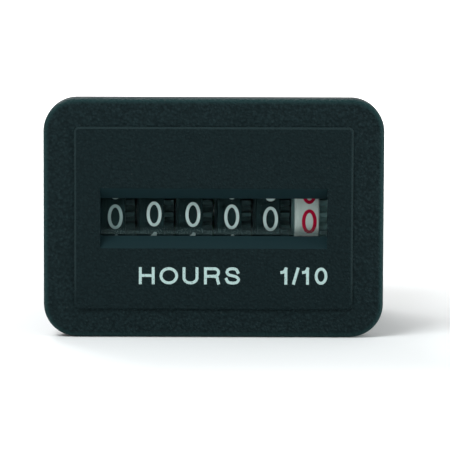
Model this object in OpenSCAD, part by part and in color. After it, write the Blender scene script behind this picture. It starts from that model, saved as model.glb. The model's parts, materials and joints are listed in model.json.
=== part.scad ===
/* [Bezel] */
// Width of the front flange
bezel_w = 44; // [42:0.5:60]
// Height of the front flange
bezel_h = 31; // [29:0.5:45]
// Thickness of the flange in front of the panel
bezel_t = 3.2; // [3:0.1:4.5]
// Corner radius of the flange
bezel_corner_r = 4.3; // [2:0.1:6]
// Rounding along the front edge of the flange
bezel_edge_r = 0.8; // [0.4:0.1:1.5]
// Width of the raised face
face_w = 36; // [34:0.1:40]
// Height of the raised face
face_h = 23.7; // [18:0.1:27]
// Corner radius of the raised face
face_corner_r = 0.7; // [0.5:0.1:2]
// How far the face stands proud of the flange
face_rise = 0.3; // [0.2:0.05:0.6]
// Rounding along the edge of the raised face
face_edge_r = 0.2; // [0.1:0.05:0.3]

/* [Window] */
// Height of the window at the face
window_h = 7.8; // [6:0.1:10]
// Height of the window slot behind its sloped sills
window_slot_h = 4.9; // [4:0.1:6]
// Depth of the sloped sills
sill_depth = 1.7; // [1:0.1:1.9]
// Thickness of the wall round the window
front_wall = 2; // [2:0.1:3]
// How far the window and the counter sit below the middle
window_drop = 0; // [0:0.05:1]
// Thickness of the clear lens
lens_t = 1.2; // [0.8:0.1:2]
// How far the lens reaches past the window at each end
lens_lap = 0.8; // [0.5:0.1:1.5]
// Width of the ribs that locate the lens
lens_rib = 0.8; // [0.6:0.1:1.5]

/* [Body] */
// Wall of the body
body_wall = 1.2; // [1.1:0.1:2]
// Corner radius of the body
body_corner_r = 1; // [0.5:0.1:2]
// Length of the body behind the panel
body_depth = 30; // [28:0.5:45]
// Thickness of the rear cover
cover_t = 1.5; // [1:0.1:3]
// Wall of the lip on the rear cover
cover_lip = 1.2; // [0.8:0.1:2]
// Width of the snap windows in the top and bottom walls
snap_w = 5; // [3:0.1:8]
// Length of the snap windows
snap_l = 1.4; // [1:0.1:1.8]
// Half the spacing of the snap windows
snap_x = 10; // [6:0.5:12]
// Height of the guide ribs on the top and bottom walls
guide_h = 0.4; // [0.2:0.05:0.5]

/* [Number wheels] */
// Radius of the number drums
drum_r = 6.3; // [5.8:0.1:7.6]
// Spacing of the number wheels
wheel_pitch = 5.05; // [5:0.05:6.1]
// Wall of the drum
drum_wall = 0.9; // [0.6:0.1:1.2]
// Width of the drum
drum_w = 3.2; // [3:0.02:3.3]
// Width of the toothed ring beside the drum
ring_w = 1.23; // [1:0.01:1.3]
// Radius of the wheel hub
hub_r = 1.9; // [1.5:0.1:2.5]
// Radius of the shaft that carries the wheels
wheel_shaft_r = 0.75; // [0.6:0.05:1]
// Radius of the shaft that carries the transfer pinions
pinion_shaft_r = 0.5; // [0.4:0.05:0.7]

/* [Gears] */
// Teeth of the ring on each number wheel
wheel_teeth = 20; // [20]
// Teeth of every pinion
pinion_teeth = 8; // [8]
// Teeth of the large wheel on the drive gear
drive_teeth = 32; // [32]
// Teeth of the large wheel on the second gear
second_teeth = 40; // [40]
// Module of the motor gears
train_module = 0.25; // [0.2:0.01:0.26]
// Tooth height above the pitch line of a large gear, in modules
gear_addendum = 0.5; // [0.4:0.05:0.6]
// Tooth height above the pitch line of a pinion, in modules
pinion_addendum = 1.1; // [0.9:0.05:1.2]
// Gap at the tooth tips, in modules
tip_gap = 0.25; // [0.2:0.05:0.35]
// Sideways gap between teeth, in modules
tooth_gap = 0.14; // [0.1:0.02:0.2]
// Radius of the arbors
arbor_r = 0.45; // [0.35:0.05:0.5]

/* [Motor] */
// Radius of the rotor magnet
magnet_r = 1.25; // [1:0.05:1.5]
// Length of the rotor magnet
magnet_l = 2.4; // [2:0.1:3]
// Gap between the magnet and the stator
air_gap = 0.35; // [0.3:0.05:0.5]
// Thickness of the stator and of the coil core
stator_t = 1; // [0.8:0.1:1.2]
// Radius of the winding
coil_r = 2.6; // [2:0.1:2.7]
// Width of the stator legs
leg_w = 2; // [1.6:0.1:2.4]

/* [Terminals] */
// Width of the blade terminals
blade_w = 6.35; // [4.8:0.05:6.35]
// Thickness of the blade terminals
blade_t = 0.8; // [0.5:0.1:1]
// Length of the blades behind the cover
blade_l = 8; // [6:0.5:12]
// Half the spacing of the blades
blade_x = 8; // [6:0.5:11]
// Radius of the hole in each blade
blade_hole_r = 0.85; // [0.6:0.05:1.2]

/* [Side clips] */
// Thickness of the spring steel
clip_t = 0.4; // [0.3:0.05:0.5]
// Width of the clips
clip_w = 8; // [5:0.5:12]
// Corner radius of the clips
clip_corner_r = 1.2; // [0.5:0.1:2]
// How far the clips bow out past the body
clip_bow = 1.5; // [1:0.1:2]
// Shortest distance from the panel seat to a clip
clip_tip_y = 2.4; // [2.2:0.1:5]

/* [Fits] */
// Radial clearance of a turning fit
run_fit = 0.05; // [0.03:0.01:0.08]
// Clearance of a fixed fit
seat_fit = 0.05; // [0.02:0.01:0.1]
// Room between parts that turn past each other
turn_gap = 0.2; // [0.15:0.05:0.3]
// Thickness of the frame plates
plate_t = 0.9; // [0.8:0.1:1.2]
// Thickness of the circuit board
board_t = 1; // [0.8:0.1:1.6]

/* [Hidden] */
$fn = 48;
// Overlap that lets a cut pass clean through a face
cut = 0.2;
pressure_angle = 20;
// Tightest fit, of a pin pressed into a hole
press_fit = 0.01;

// Depth stations, from the face towards the back
face_y = -bezel_t - face_rise;
lens_front_y = face_y + front_wall;
lens_back_y = lens_front_y + lens_t;
axis_y = lens_back_y + 2 * turn_gap + drum_r;
axis_z = -window_drop;

// Number wheels: a toothed ring on the right, a carry ring on the left
wheel_count = 6;
wheel_span = wheel_count * wheel_pitch;
hub_half = wheel_pitch / 2 - seat_fit;
ring_end_gap = 0.18;
ring_right = wheel_pitch / 2 - ring_end_gap;
drum_right = ring_right - ring_w;
drum_left = drum_right - drum_w;
web_t = 0.9;
drum_edge = 0.12;
groove_d = 0.15;
groove_w = 0.27;
groove_inset = 0.7;
mesh_dist = drum_r + pinion_shaft_r + turn_gap;
count_module = 2 * mesh_dist / (wheel_teeth + pinion_teeth);
ring_add = gear_addendum * count_module;
ring_ded = (pinion_addendum + tip_gap) * count_module;
pinion_add = pinion_addendum * count_module;
pinion_ded = (gear_addendum + tip_gap) * count_module;
ring_bore_r = wheel_teeth * count_module / 2 - ring_ded - drum_wall - turn_gap;
carry_gap = 0.15;
carry_r = mesh_dist - pinion_teeth * count_module / 2 - pinion_add - carry_gap;
carry_wall = 1.1;
carry_notch = 1.2;

// Transfer pinions sit behind and below the wheels
transfer_angle = -60;
transfer_y = axis_y + mesh_dist * cos(transfer_angle);
transfer_z = axis_z + mesh_dist * sin(transfer_angle);
transfer_side_gap = 0.13;
transfer_left = drum_right + transfer_side_gap;
transfer_right = wheel_pitch + drum_left - transfer_side_gap;
short_tooth_l = ring_right - transfer_left;
transfer_phase = mesh_phase(0, wheel_teeth, pinion_teeth, transfer_angle);

// Motor gears lie in one row behind the tenths wheel
drive_dist = train_module * (drive_teeth + pinion_teeth) / 2;
second_dist = train_module * (second_teeth + pinion_teeth) / 2;
train_gear_add = gear_addendum * train_module;
train_gear_ded = (pinion_addendum + tip_gap) * train_module;
train_pin_add = pinion_addendum * train_module;
train_pin_ded = (gear_addendum + tip_gap) * train_module;
drive_y = axis_y + mesh_dist;
second_y = drive_y + drive_dist;
rotor_y = second_y;
rotor_z = axis_z - second_dist;
second_tip_r = second_teeth * train_module / 2 + train_gear_add;
second_hole_count = 5;
second_hole_r = second_tip_r / 5;
drive_phase = mesh_phase(0, wheel_teeth, pinion_teeth, 0);
second_phase = mesh_phase(drive_phase, drive_teeth, pinion_teeth, 0);
rotor_phase = mesh_phase(second_phase, second_teeth, pinion_teeth, -90);

// Stations along the arbors, from the tenths wheel to the right and to the left
tenths_x = wheel_pitch * (wheel_count - 1) / 2;
wheel_end = tenths_x + ring_right;
drive_gear_x = wheel_end + turn_gap;
drive_gear_w = 0.6;
drive_side_gap = 0.06;
drive_pinion_x = tenths_x + drum_right + drive_side_gap;
right_plate_x = drive_gear_x + drive_gear_w + turn_gap;
left_plate_x = -wheel_span / 2 - turn_gap - plate_t;
second_w = 0.8;
gear_plate_t = 0.8;
gear_plate_x = drive_pinion_x - 2 * turn_gap - gear_plate_t;
second_gear_x = gear_plate_x - 1.5 * turn_gap - second_w;
bobbin_flange_r = coil_r + 0.3;
bobbin_flange_t = 0.6;
bobbin_wall = 0.5;
core_x = second_gear_x - bobbin_flange_r - (stator_t + turn_gap) / 2;
stator_x = core_x - stator_t;
motor_room = bobbin_flange_r - 1.5 * stator_t + turn_gap;
motor_plate_x = stator_x - motor_room - gear_plate_t;
magnet_x = stator_x + stator_t / 2 - magnet_l / 2;
rotor_arbor_r = 0.35;
pillar_r = 1.1;
screw_r = 0.6;
screw_head_r = 1.25;
screw_head_l = 0.7;
screw_slot_w = 0.3;
leg_dist = min(3.9, rotor_y - axis_y - drum_r - turn_gap - pillar_r);
coil_gap = 0.6;
coil_z = axis_z + second_tip_r + screw_head_r + coil_gap;
foot_z = rotor_z - pillar_r;
stator_foot = 2.2;
stator_yoke = 2.4;
stator_notch_r = 0.25;
bearing_land = 3;
coil_land = 2;
stack_points = [for (s = [-1, 1], z = [foot_z, coil_z]) [rotor_y + s * leg_dist, z]];

// Body shell round the counter, and what closes its back
cavity_w = 2 * (right_plate_x + plate_t + turn_gap);
base_t = 1;
pinion_low_z = transfer_z - pinion_teeth * count_module / 2 - pinion_add;
cavity_h = 2 * max(1.5 * turn_gap + base_t - pinion_low_z, coil_z + bobbin_flange_r + 2 * turn_gap);
floor_z = -cavity_h / 2;
body_w = cavity_w + 2 * body_wall;
body_h = cavity_h + 2 * body_wall;
window_end = 0.4;
window_w = 2 * (tenths_x + hub_half - window_end);
lens_w = window_w + 2 * lens_lap;
lens_edge = 2.1;
lens_h = window_slot_h + 2 * lens_edge;
board_gap = 1;
board_y = second_y + max(second_tip_r, leg_dist + leg_w / 2) + board_gap;
board_back_y = board_y + board_t;
back_room = 2.9;
body_end = max(body_depth, board_back_y + back_room + cover_t);
sleeve_end = body_end - cover_t;
guide_w = 1.2;
guide_x = 5;
guide_end = sleeve_end - 3 * snap_l;
board_lap = 0.8;
board_w = cavity_w - board_lap;
board_h = cavity_h - board_lap;
bobbin_half = leg_dist - leg_w / 2 - turn_gap;
core_w = 2.4;
barrel_r = core_w / 2 + bobbin_wall;
core_mid_x = core_x + stator_t / 2;
pin_r = 0.25;
pin_dx = 1.3;
pin_dz = min(1.9, cavity_h / 2 - seat_fit - cover_lip - pin_r - turn_gap - coil_z);
pin_stub = 0.5;

// Parts on the front of the board
chip_size = [4, 1.4, 5];
chip_at = [-3, -5.5];
chip_stand = 0.1;
chip_leg = [1.1, 0.6, 0.4];
chip_leg_pitch = 1.27;
crystal_r = 1;
crystal_l = 6;
crystal_at = [-13, -7];
capacitor_r = 2.5;
capacitor_l = 7;
capacitor_at = [-11, 2.5];
capacitor_rim = 0.6;
capacitor_neck = 0.25;
resistor_x = -5.5;
resistor_z = [0, 5.5];
resistor_r = 0.9;
diode_x = -2.5;
diode_z = [0.5, 5];
diode_r = 1.1;
wire_r = 0.28;
wire_end = 1;

// Terminals and the rear cover
slot_fit = seat_fit / 2;
shoulder_w = blade_w + 1.6;
shoulder_l = 0.8;
tail_w = 2.4;
tail_end = 0.6;
blade_chamfer = 1;
boss_w = blade_t + 2.8;
boss_h = blade_w + 3;
boss_rise = 0.8;
boss_corner_r = 0.8;
cover_edge_r = 0.4;

// Side clips and their pegs
recess_d = 0.7;
recess_x = body_w / 2 - recess_d;
clip_leg_y = 9.5;
clip_end_y = 20;
clip_knee = 2.4;
clip_curl = 1;
peg_y = [12, 17.5];
peg_r = 0.7;
peg_head_r = 1.2;
peg_head_l = 0.4;

// Angle by which an involute has turned from its base circle at radius r
function involute(r, base) = let (t = sqrt(max(0, pow(r / base, 2) - 1))) t * 180 / PI - atan(t);

// Half the angle that a tooth takes up at radius r
function half_tooth(r, teeth, module_mm) =
  let (pitch_r = teeth * module_mm / 2)
  let (base = pitch_r * cos(pressure_angle))
  let (slack = tooth_gap * module_mm / (2 * pitch_r) * 180 / PI)
  90 / teeth - slack + involute(pitch_r, base) - involute(max(r, base), base);

// Outline of a gear, with a tooth centred on angle 0; every = 2 leaves out each second tooth
function gear_points(teeth, module_mm, add, ded, every = 1) =
  let (root = teeth * module_mm / 2 - ded, steps = 3)
  [for (i = [0 : every : teeth - 1], side = [-1, 1], k = [0 : steps])
    let (q = side < 0 ? k : steps - k)
    let (r = root + (ded + add) * q / steps)
    let (a = 360 * i / teeth + side * half_tooth(r, teeth, module_mm))
    [r * cos(a), r * sin(a)]];

// Phase of a second gear that meshes with a first one of phase first, in direction dir
function mesh_phase(first, teeth_1, teeth_2, dir) =
  dir + 180 - 180 / teeth_2 + (dir - first) * teeth_1 / teeth_2;

// Puts a shape made round the Z axis on an axis along X through y, z, starting at x
module on_axis(x, y, z) {
  translate([x, y, z]) rotate([90, 0, 90]) children();
}

// Puts a shape drawn in X and Z between two depths
module between(y0, y1) {
  translate([0, y1, 0]) rotate([90, 0, 0]) linear_extrude(y1 - y0) children();
}

module rod(x0, x1, y, z, r) {
  on_axis(x0, y, z) cylinder(h = x1 - x0, r = r);
}

module rounded_rect(w, h, r) {
  square([w - 2 * r, h], center = true);
  square([w, h - 2 * r], center = true);
  for (sx = [-1, 1], sz = [-1, 1])
    translate([sx * (w / 2 - r), sz * (h / 2 - r)]) circle(r);
}

// Section through the rim of a slab: corner radius r, thickness t, front edge rounded by f
module rim_section(r, t, f) {
  square([r - f, t]);
  square([r, t - f]);
  translate([r - f, t - f]) circle(f);
}

// Slab with round corners and a rounded front edge, back on the plane y, thickness towards the front
module soft_slab(w, h, t, r, f, y) {
  translate([0, y, 0]) rotate([90, 0, 0]) {
    translate([r - w / 2, r - h / 2, 0]) cube([w - 2 * r, h - 2 * r, t]);
    for (k = [0 : 3]) {
      along = k % 2 == 0 ? [w, h] : [h, w];
      rotate(90 * k) translate([along[0] / 2 - r, along[1] / 2 - r, 0]) {
        rotate([90, 0, 0]) linear_extrude(along[1] - 2 * r) rim_section(r, t, f);
        rotate_extrude(angle = 90) rim_section(r, t, f);
      }
    }
  }
}

// Opening of the window: straight ends, sills that slope in from the face
module window_cut() {
  half = window_w / 2;
  top = window_h / 2;
  slot = window_slot_h / 2;
  slope = (top - slot) / sill_depth;
  on_axis(-half, 0, axis_z)
    linear_extrude(window_w)
      polygon([
        [face_y - cut, -top - cut * slope], [face_y + sill_depth, -slot], [lens_front_y + cut, -slot],
        [lens_front_y + cut, slot], [face_y + sill_depth, slot], [face_y - cut, top + cut * slope]
      ]);
}

// Recess in a side wall for a spring clip, and the two pegs whose heads are formed over it
module clip_seat_cut(side) {
  translate([side > 0 ? recess_x : -body_w / 2 - cut, clip_tip_y, -clip_w / 2 - turn_gap])
    cube([recess_d + cut, clip_end_y + turn_gap - clip_tip_y, clip_w + 2 * turn_gap]);
}

module clip_pegs(side) {
  head_x = recess_x + clip_t;
  mirror([side > 0 ? 0 : 1, 0, 0])
    for (y = peg_y) {
      rod(recess_x - cut, head_x + peg_head_l, y, 0, peg_r);
      on_axis(head_x, y, 0) cylinder(h = peg_head_l, r1 = peg_head_r, r2 = peg_head_r - peg_head_l);
    }
}

// Openings in the top and bottom walls for the snaps of the rear cover
module snap_windows(grow) {
  low = [-body_h / 2 - cut, cavity_h / 2 - cut];
  for (sx = [-1, 1], z = low)
    translate([sx * snap_x - snap_w / 2 - grow, sleeve_end - 2 * snap_l - grow, z])
      cube([snap_w + 2 * grow, snap_l + 2 * grow, body_wall + 2 * cut]);
}

// Ribs that centre the body in the panel
module guide_ribs() {
  low = [-body_h / 2 - guide_h, body_h / 2 - cut];
  for (sx = [-1, 1], z = low)
    translate([sx * guide_x - guide_w / 2, clip_tip_y, z])
      cube([guide_w, guide_end - clip_tip_y, guide_h + cut]);
}

// Ribs over and under the lens
module lens_ribs() {
  inner = lens_h / 2 + seat_fit;
  for (z = [-inner - lens_rib, inner])
    translate([-lens_w / 2, lens_front_y - cut, axis_z + z]) cube([lens_w, lens_t + cut, lens_rib]);
}

module front_case() {
  color("#1a2729") difference() {
    union() {
      difference() {
        union() {
          soft_slab(bezel_w, bezel_h, bezel_t, bezel_corner_r, bezel_edge_r, 0);
          soft_slab(face_w, face_h, face_rise + cut, face_corner_r, face_edge_r, cut - bezel_t);
          between(-cut, sleeve_end) rounded_rect(body_w, body_h, body_corner_r);
        }
        between(lens_front_y, sleeve_end + cut) square([cavity_w, cavity_h], center = true);
        for (side = [-1, 1]) clip_seat_cut(side);
      }
      for (side = [-1, 1]) clip_pegs(side);
      lens_ribs();
      guide_ribs();
    }
    window_cut();
    snap_windows(seat_fit);
  }
}

module window_lens() {
  color("#d8e6e6")
    between(lens_front_y, lens_back_y) translate([0, axis_z]) square([lens_w, lens_h], center = true);
}

module plate_outline(y0, y1, z0, z1) {
  translate([y0, z0]) square([y1 - y0, z1 - z0]);
}

// U-shaped moulding: two side plates on a base, with a post for the drive gear
module counter_frame() {
  front = lens_back_y;
  plate_top = coil_z + pillar_r;
  color("#2b2f31") {
    difference() {
      union() {
        translate([left_plate_x, front, floor_z])
          cube([right_plate_x + plate_t - left_plate_x, board_y - front, base_t]);
        on_axis(left_plate_x, 0, 0) linear_extrude(plate_t) {
          plate_outline(front, axis_y + drum_r, floor_z, axis_z + drum_r);
          plate_outline(axis_y, board_y, floor_z, transfer_z + pillar_r);
        }
        on_axis(right_plate_x, 0, 0) linear_extrude(plate_t) {
          plate_outline(front, axis_y + drum_r, floor_z, axis_z + drum_r);
          plate_outline(axis_y, board_y, floor_z, plate_top);
        }
        rod(drive_pinion_x + turn_gap, right_plate_x + cut, drive_y, axis_z, pinion_shaft_r);
      }
      for (x = [left_plate_x, right_plate_x]) {
        rod(x - cut, x + plate_t + cut, axis_y, axis_z, wheel_shaft_r + press_fit);
        rod(x - cut, x + plate_t + cut, transfer_y, transfer_z, pinion_shaft_r + press_fit);
      }
      rod(right_plate_x - cut, right_plate_x + plate_t + cut, second_y, axis_z, arbor_r + run_fit);
      for (p = stack_points)
        rod(right_plate_x - cut, right_plate_x + plate_t + cut, p[0], p[1], screw_r + press_fit);
    }
  }
}

module wheel_shaft() {
  color("#b8bcbe") rod(left_plate_x, right_plate_x + plate_t, axis_y, axis_z, wheel_shaft_r);
}

module pinion_shaft() {
  color("#b8bcbe") rod(left_plate_x, right_plate_x + plate_t, transfer_y, transfer_z, pinion_shaft_r);
}

// Section of a number wheel: hub, web, drum with a fine groove, and the wall of the carry ring
module wheel_section() {
  bore = wheel_shaft_r + run_fit;
  translate([bore, -hub_half]) square([hub_r - bore, 2 * hub_half]);
  translate([bore, drum_right - web_t]) square([drum_r - drum_wall / 2 - bore, web_t]);
  translate([carry_r - carry_wall, -hub_half]) square([carry_wall, hub_half + drum_right]);
  difference() {
    polygon([
      [drum_r - drum_wall, drum_left], [drum_r - drum_edge, drum_left], [drum_r, drum_left + drum_edge],
      [drum_r, drum_right - drum_edge], [drum_r - drum_edge, drum_right], [drum_r - drum_wall, drum_right]
    ]);
    translate([drum_r - groove_d, drum_left + groove_inset]) square([groove_d + cut, groove_w]);
  }
}

// Number wheel, counted from the left; the last one shows tenths and is white
module number_wheel(i) {
  tone = i < wheel_count - 1 ? "#17191b" : "#c9d2cc";
  color(tone) on_axis(wheel_pitch * (i - (wheel_count - 1) / 2), axis_y, axis_z) {
    difference() {
      rotate_extrude() wheel_section();
      rotate(90) translate([carry_r - carry_wall / 2, -carry_notch / 2, -hub_half - cut])
        cube([carry_wall, carry_notch, hub_half + drum_left + cut]);
    }
    translate([0, 0, drum_right - web_t / 2]) linear_extrude(ring_w + web_t / 2) difference() {
      polygon(gear_points(wheel_teeth, count_module, ring_add, ring_ded));
      circle(ring_bore_r);
    }
  }
}

// Eight short teeth in mesh with a wheel, four of them running on towards the next wheel
module transfer_pinion(i) {
  x = wheel_pitch * (i - (wheel_count - 1) / 2) + transfer_left;
  color("#d9d6c8")
    on_axis(x, transfer_y, transfer_z) rotate(transfer_phase) difference() {
      union() {
        linear_extrude(short_tooth_l)
          polygon(gear_points(pinion_teeth, count_module, pinion_add, pinion_ded));
        linear_extrude(transfer_right - transfer_left)
          polygon(gear_points(pinion_teeth, count_module, pinion_add, pinion_ded, 2));
      }
      translate([0, 0, -cut]) cylinder(h = wheel_pitch, r = pinion_shaft_r + run_fit);
    }
}

module drive_gear() {
  color("#d9d6c8") on_axis(drive_pinion_x, drive_y, axis_z) rotate(drive_phase) difference() {
    union() {
      linear_extrude(drive_gear_x + drive_gear_w / 2 - drive_pinion_x)
        polygon(gear_points(pinion_teeth, count_module, pinion_add, pinion_ded));
      translate([0, 0, drive_gear_x - drive_pinion_x]) linear_extrude(drive_gear_w)
        polygon(gear_points(drive_teeth, train_module, train_gear_add, train_gear_ded));
    }
    translate([0, 0, -cut]) cylinder(h = right_plate_x - drive_pinion_x + cut, r = pinion_shaft_r + run_fit);
  }
}

module second_gear() {
  color("#d9d6c8") {
    rod(second_gear_x - turn_gap, right_plate_x + plate_t, second_y, axis_z, arbor_r);
    on_axis(second_gear_x, second_y, axis_z) rotate(second_phase) difference() {
      linear_extrude(second_w)
        polygon(gear_points(second_teeth, train_module, train_gear_add, train_gear_ded));
      for (k = [1 : second_hole_count])
        rotate(360 * k / second_hole_count) translate([second_tip_r / 2, 0, -cut])
          cylinder(h = second_w + 2 * cut, r = second_hole_r);
    }
    on_axis(drive_gear_x - turn_gap / 2, second_y, axis_z) rotate(second_phase)
      linear_extrude(drive_gear_w + turn_gap)
        polygon(gear_points(pinion_teeth, train_module, train_pin_add, train_pin_ded));
  }
}

module rotor_magnet() {
  color("#4a4440") on_axis(magnet_x, rotor_y, rotor_z) difference() {
    cylinder(h = magnet_l, r = magnet_r);
    translate([0, 0, -cut]) cylinder(h = magnet_l + 2 * cut, r = rotor_arbor_r);
  }
}

module rotor_pinion() {
  color("#d9d6c8") {
    rod(motor_plate_x, gear_plate_x + gear_plate_t, rotor_y, rotor_z, rotor_arbor_r);
    on_axis(second_gear_x - turn_gap, rotor_y, rotor_z) rotate(rotor_phase)
      linear_extrude(second_w + 2 * turn_gap)
        polygon(gear_points(pinion_teeth, train_module, train_pin_add, train_pin_ded));
  }
}

// Outline of the plates on both sides of the motor
module motor_outline() {
  margin = pillar_r;
  plate_outline(rotor_y - leg_dist - margin, rotor_y + leg_dist + margin, floor_z + base_t, coil_z + margin);
}

module pillars(x0, x1) {
  for (p = stack_points) rod(x0, x1, p[0], p[1], pillar_r);
}

module stack_holes(x0, x1) {
  for (p = stack_points) rod(x0 - cut, x1 + cut, p[0], p[1], screw_r + seat_fit);
}

module gear_plate() {
  color("#c9b27a") difference() {
    union() {
      on_axis(gear_plate_x, 0, 0) linear_extrude(gear_plate_t) motor_outline();
      pillars(gear_plate_x, right_plate_x);
      for (p = stack_points)
        rod(p[1] > 0 ? core_x + stator_t : core_x, gear_plate_x + cut, p[0], p[1], pillar_r);
    }
    stack_holes(core_x, right_plate_x);
    rod(gear_plate_x - cut, gear_plate_x + gear_plate_t + cut, second_y, axis_z, arbor_r + run_fit);
    rod(gear_plate_x - cut, gear_plate_x + gear_plate_t + cut, rotor_y, rotor_z, rotor_arbor_r + run_fit);
  }
}

module motor_plate() {
  half = leg_dist - leg_w / 2 - coil_gap;
  color("#c9b27a") difference() {
    union() {
      on_axis(motor_plate_x, 0, 0) linear_extrude(gear_plate_t) difference() {
        motor_outline();
        plate_outline(rotor_y - half, rotor_y + half, rotor_z + bearing_land, coil_z - coil_land);
      }
      pillars(motor_plate_x, stator_x);
    }
    stack_holes(motor_plate_x, stator_x);
    rod(motor_plate_x - cut, motor_plate_x + gear_plate_t + cut, rotor_y, rotor_z, rotor_arbor_r + run_fit);
  }
}

module stack_screws() {
  color("#b8bcbe") for (p = stack_points) {
    rod(motor_plate_x - cut, right_plate_x + plate_t, p[0], p[1], screw_r);
    difference() {
      rod(motor_plate_x - screw_head_l, motor_plate_x, p[0], p[1], screw_head_r);
      translate([motor_plate_x - screw_head_l - cut, p[0] - screw_head_r, p[1] - screw_slot_w / 2])
        cube([cut + screw_head_l / 2, 2 * screw_head_r, screw_slot_w]);
    }
  }
}

// Flat U of soft iron whose foot closes round the rotor
module motor_stator() {
  outer = leg_dist + leg_w / 2;
  inner = leg_dist - leg_w / 2;
  color("#9a9c9c") difference() {
    on_axis(stator_x, 0, 0) linear_extrude(stator_t) difference() {
      plate_outline(rotor_y - outer, rotor_y + outer, rotor_z - stator_foot, coil_z + core_w / 2);
      plate_outline(rotor_y - inner, rotor_y + inner, rotor_z + stator_yoke, coil_z + core_w);
      translate([rotor_y, rotor_z]) circle(magnet_r + air_gap);
      for (s = [-1, 1]) translate([rotor_y + s * (magnet_r + air_gap), rotor_z]) circle(stator_notch_r);
    }
    stack_holes(stator_x, stator_x + stator_t);
  }
}

module coil_core() {
  outer = leg_dist + leg_w / 2;
  color("#9a9c9c") difference() {
    on_axis(core_x, 0, 0) linear_extrude(stator_t)
      plate_outline(rotor_y - outer, rotor_y + outer, coil_z - core_w / 2, coil_z + core_w / 2);
    stack_holes(core_x, core_x + stator_t);
  }
}

// Shapes of the coil are turned round the core, along Y
module on_core(y) {
  translate([core_mid_x, y, coil_z]) rotate([-90, 0, 0]) children();
}

module core_hole() {
  translate([core_x - seat_fit, rotor_y - leg_dist, coil_z - core_w / 2 - seat_fit])
    cube([stator_t + 2 * seat_fit, 2 * leg_dist, core_w + 2 * seat_fit]);
}

module coil_bobbin() {
  color("#20211f") difference() {
    union() {
      on_core(rotor_y - bobbin_half) cylinder(h = 2 * bobbin_half, r = barrel_r);
      for (y = [rotor_y - bobbin_half, rotor_y + bobbin_half - bobbin_flange_t])
        on_core(y) cylinder(h = bobbin_flange_t, r = bobbin_flange_r);
    }
    core_hole();
    for (s = [-1, 1])
      translate([core_mid_x + s * pin_dx, rotor_y + bobbin_half - bobbin_flange_t - cut, coil_z + pin_dz])
        rotate([-90, 0, 0]) cylinder(h = bobbin_flange_t + 2 * cut, r = pin_r);
  }
}

module coil_winding() {
  color("#a5602c") on_core(rotor_y - bobbin_half + bobbin_flange_t) difference() {
    cylinder(h = 2 * (bobbin_half - bobbin_flange_t), r = coil_r);
    translate([0, 0, -cut]) cylinder(h = 2 * bobbin_half, r = barrel_r);
  }
}

module coil_pins() {
  start = rotor_y + bobbin_half - bobbin_flange_t;
  color("#c8c2b0") for (s = [-1, 1])
    translate([core_mid_x + s * pin_dx, start, coil_z + pin_dz])
      rotate([-90, 0, 0]) cylinder(h = board_back_y + pin_stub - start, r = pin_r);
}

module circuit_board() {
  color("#2f6b3f") difference() {
    between(board_y, board_back_y) square([board_w, board_h], center = true);
    for (sx = [-1, 1]) {
      translate([sx * blade_x - blade_t / 2 - seat_fit, board_y - cut, -tail_w / 2 - seat_fit])
        cube([blade_t + 2 * seat_fit, board_t + 2 * cut, tail_w + 2 * seat_fit]);
      translate([core_mid_x + sx * pin_dx, board_y - cut, coil_z + pin_dz])
        rotate([-90, 0, 0]) cylinder(h = board_t + 2 * cut, r = pin_r + seat_fit);
    }
  }
}

// Moulded chip on eight flat legs
module timer_chip() {
  leg_x = chip_size[0] / 2 + chip_leg[0] / 2 - chip_stand;
  color("#1c1c1e") translate([chip_at[0], board_y, chip_at[1]]) {
    translate([-chip_size[0] / 2, -chip_size[1] - chip_stand, -chip_size[2] / 2]) cube(chip_size);
    for (s = [-1, 1], k = [-1.5 : 1 : 1.5])
      translate([s * leg_x - chip_leg[0] / 2, -chip_leg[1], k * chip_leg_pitch - chip_leg[2] / 2])
        cube(chip_leg);
  }
}

module quartz_crystal() {
  x = crystal_at[0];
  color("#c4c6c8") rod(x, x + crystal_l, board_y - crystal_r, crystal_at[1], crystal_r);
}

// Can standing on the board, with a rolled neck near its foot
module smoothing_capacitor() {
  neck_r = capacitor_r - capacitor_neck;
  color("#243447") translate([capacitor_at[0], board_y, capacitor_at[1]]) rotate([90, 0, 0])
    rotate_extrude() polygon([
      [0, 0], [capacitor_r, 0], [capacitor_r, capacitor_rim], [neck_r, 2 * capacitor_rim],
      [capacitor_r, 3 * capacitor_rim], [capacitor_r, capacitor_l], [0, capacitor_l]
    ]);
}

// Part with a wire at each end, bent down to the board
module axial_part(x, z0, z1, r) {
  y = board_y - r;
  translate([x, y, z0]) cylinder(h = z1 - z0, r = r);
  translate([x, y, z0 - wire_end]) cylinder(h = z1 - z0 + 2 * wire_end, r = wire_r);
  for (z = [z0 - wire_end, z1 + wire_end])
    translate([x, y, z]) rotate([-90, 0, 0]) cylinder(h = r, r = wire_r);
}

module series_resistor() {
  color("#b89a6a") axial_part(resistor_x, resistor_z[0], resistor_z[1], resistor_r);
}

module rectifier_diode() {
  color("#28282a") axial_part(diode_x, diode_z[0], diode_z[1], diode_r);
}

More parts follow.
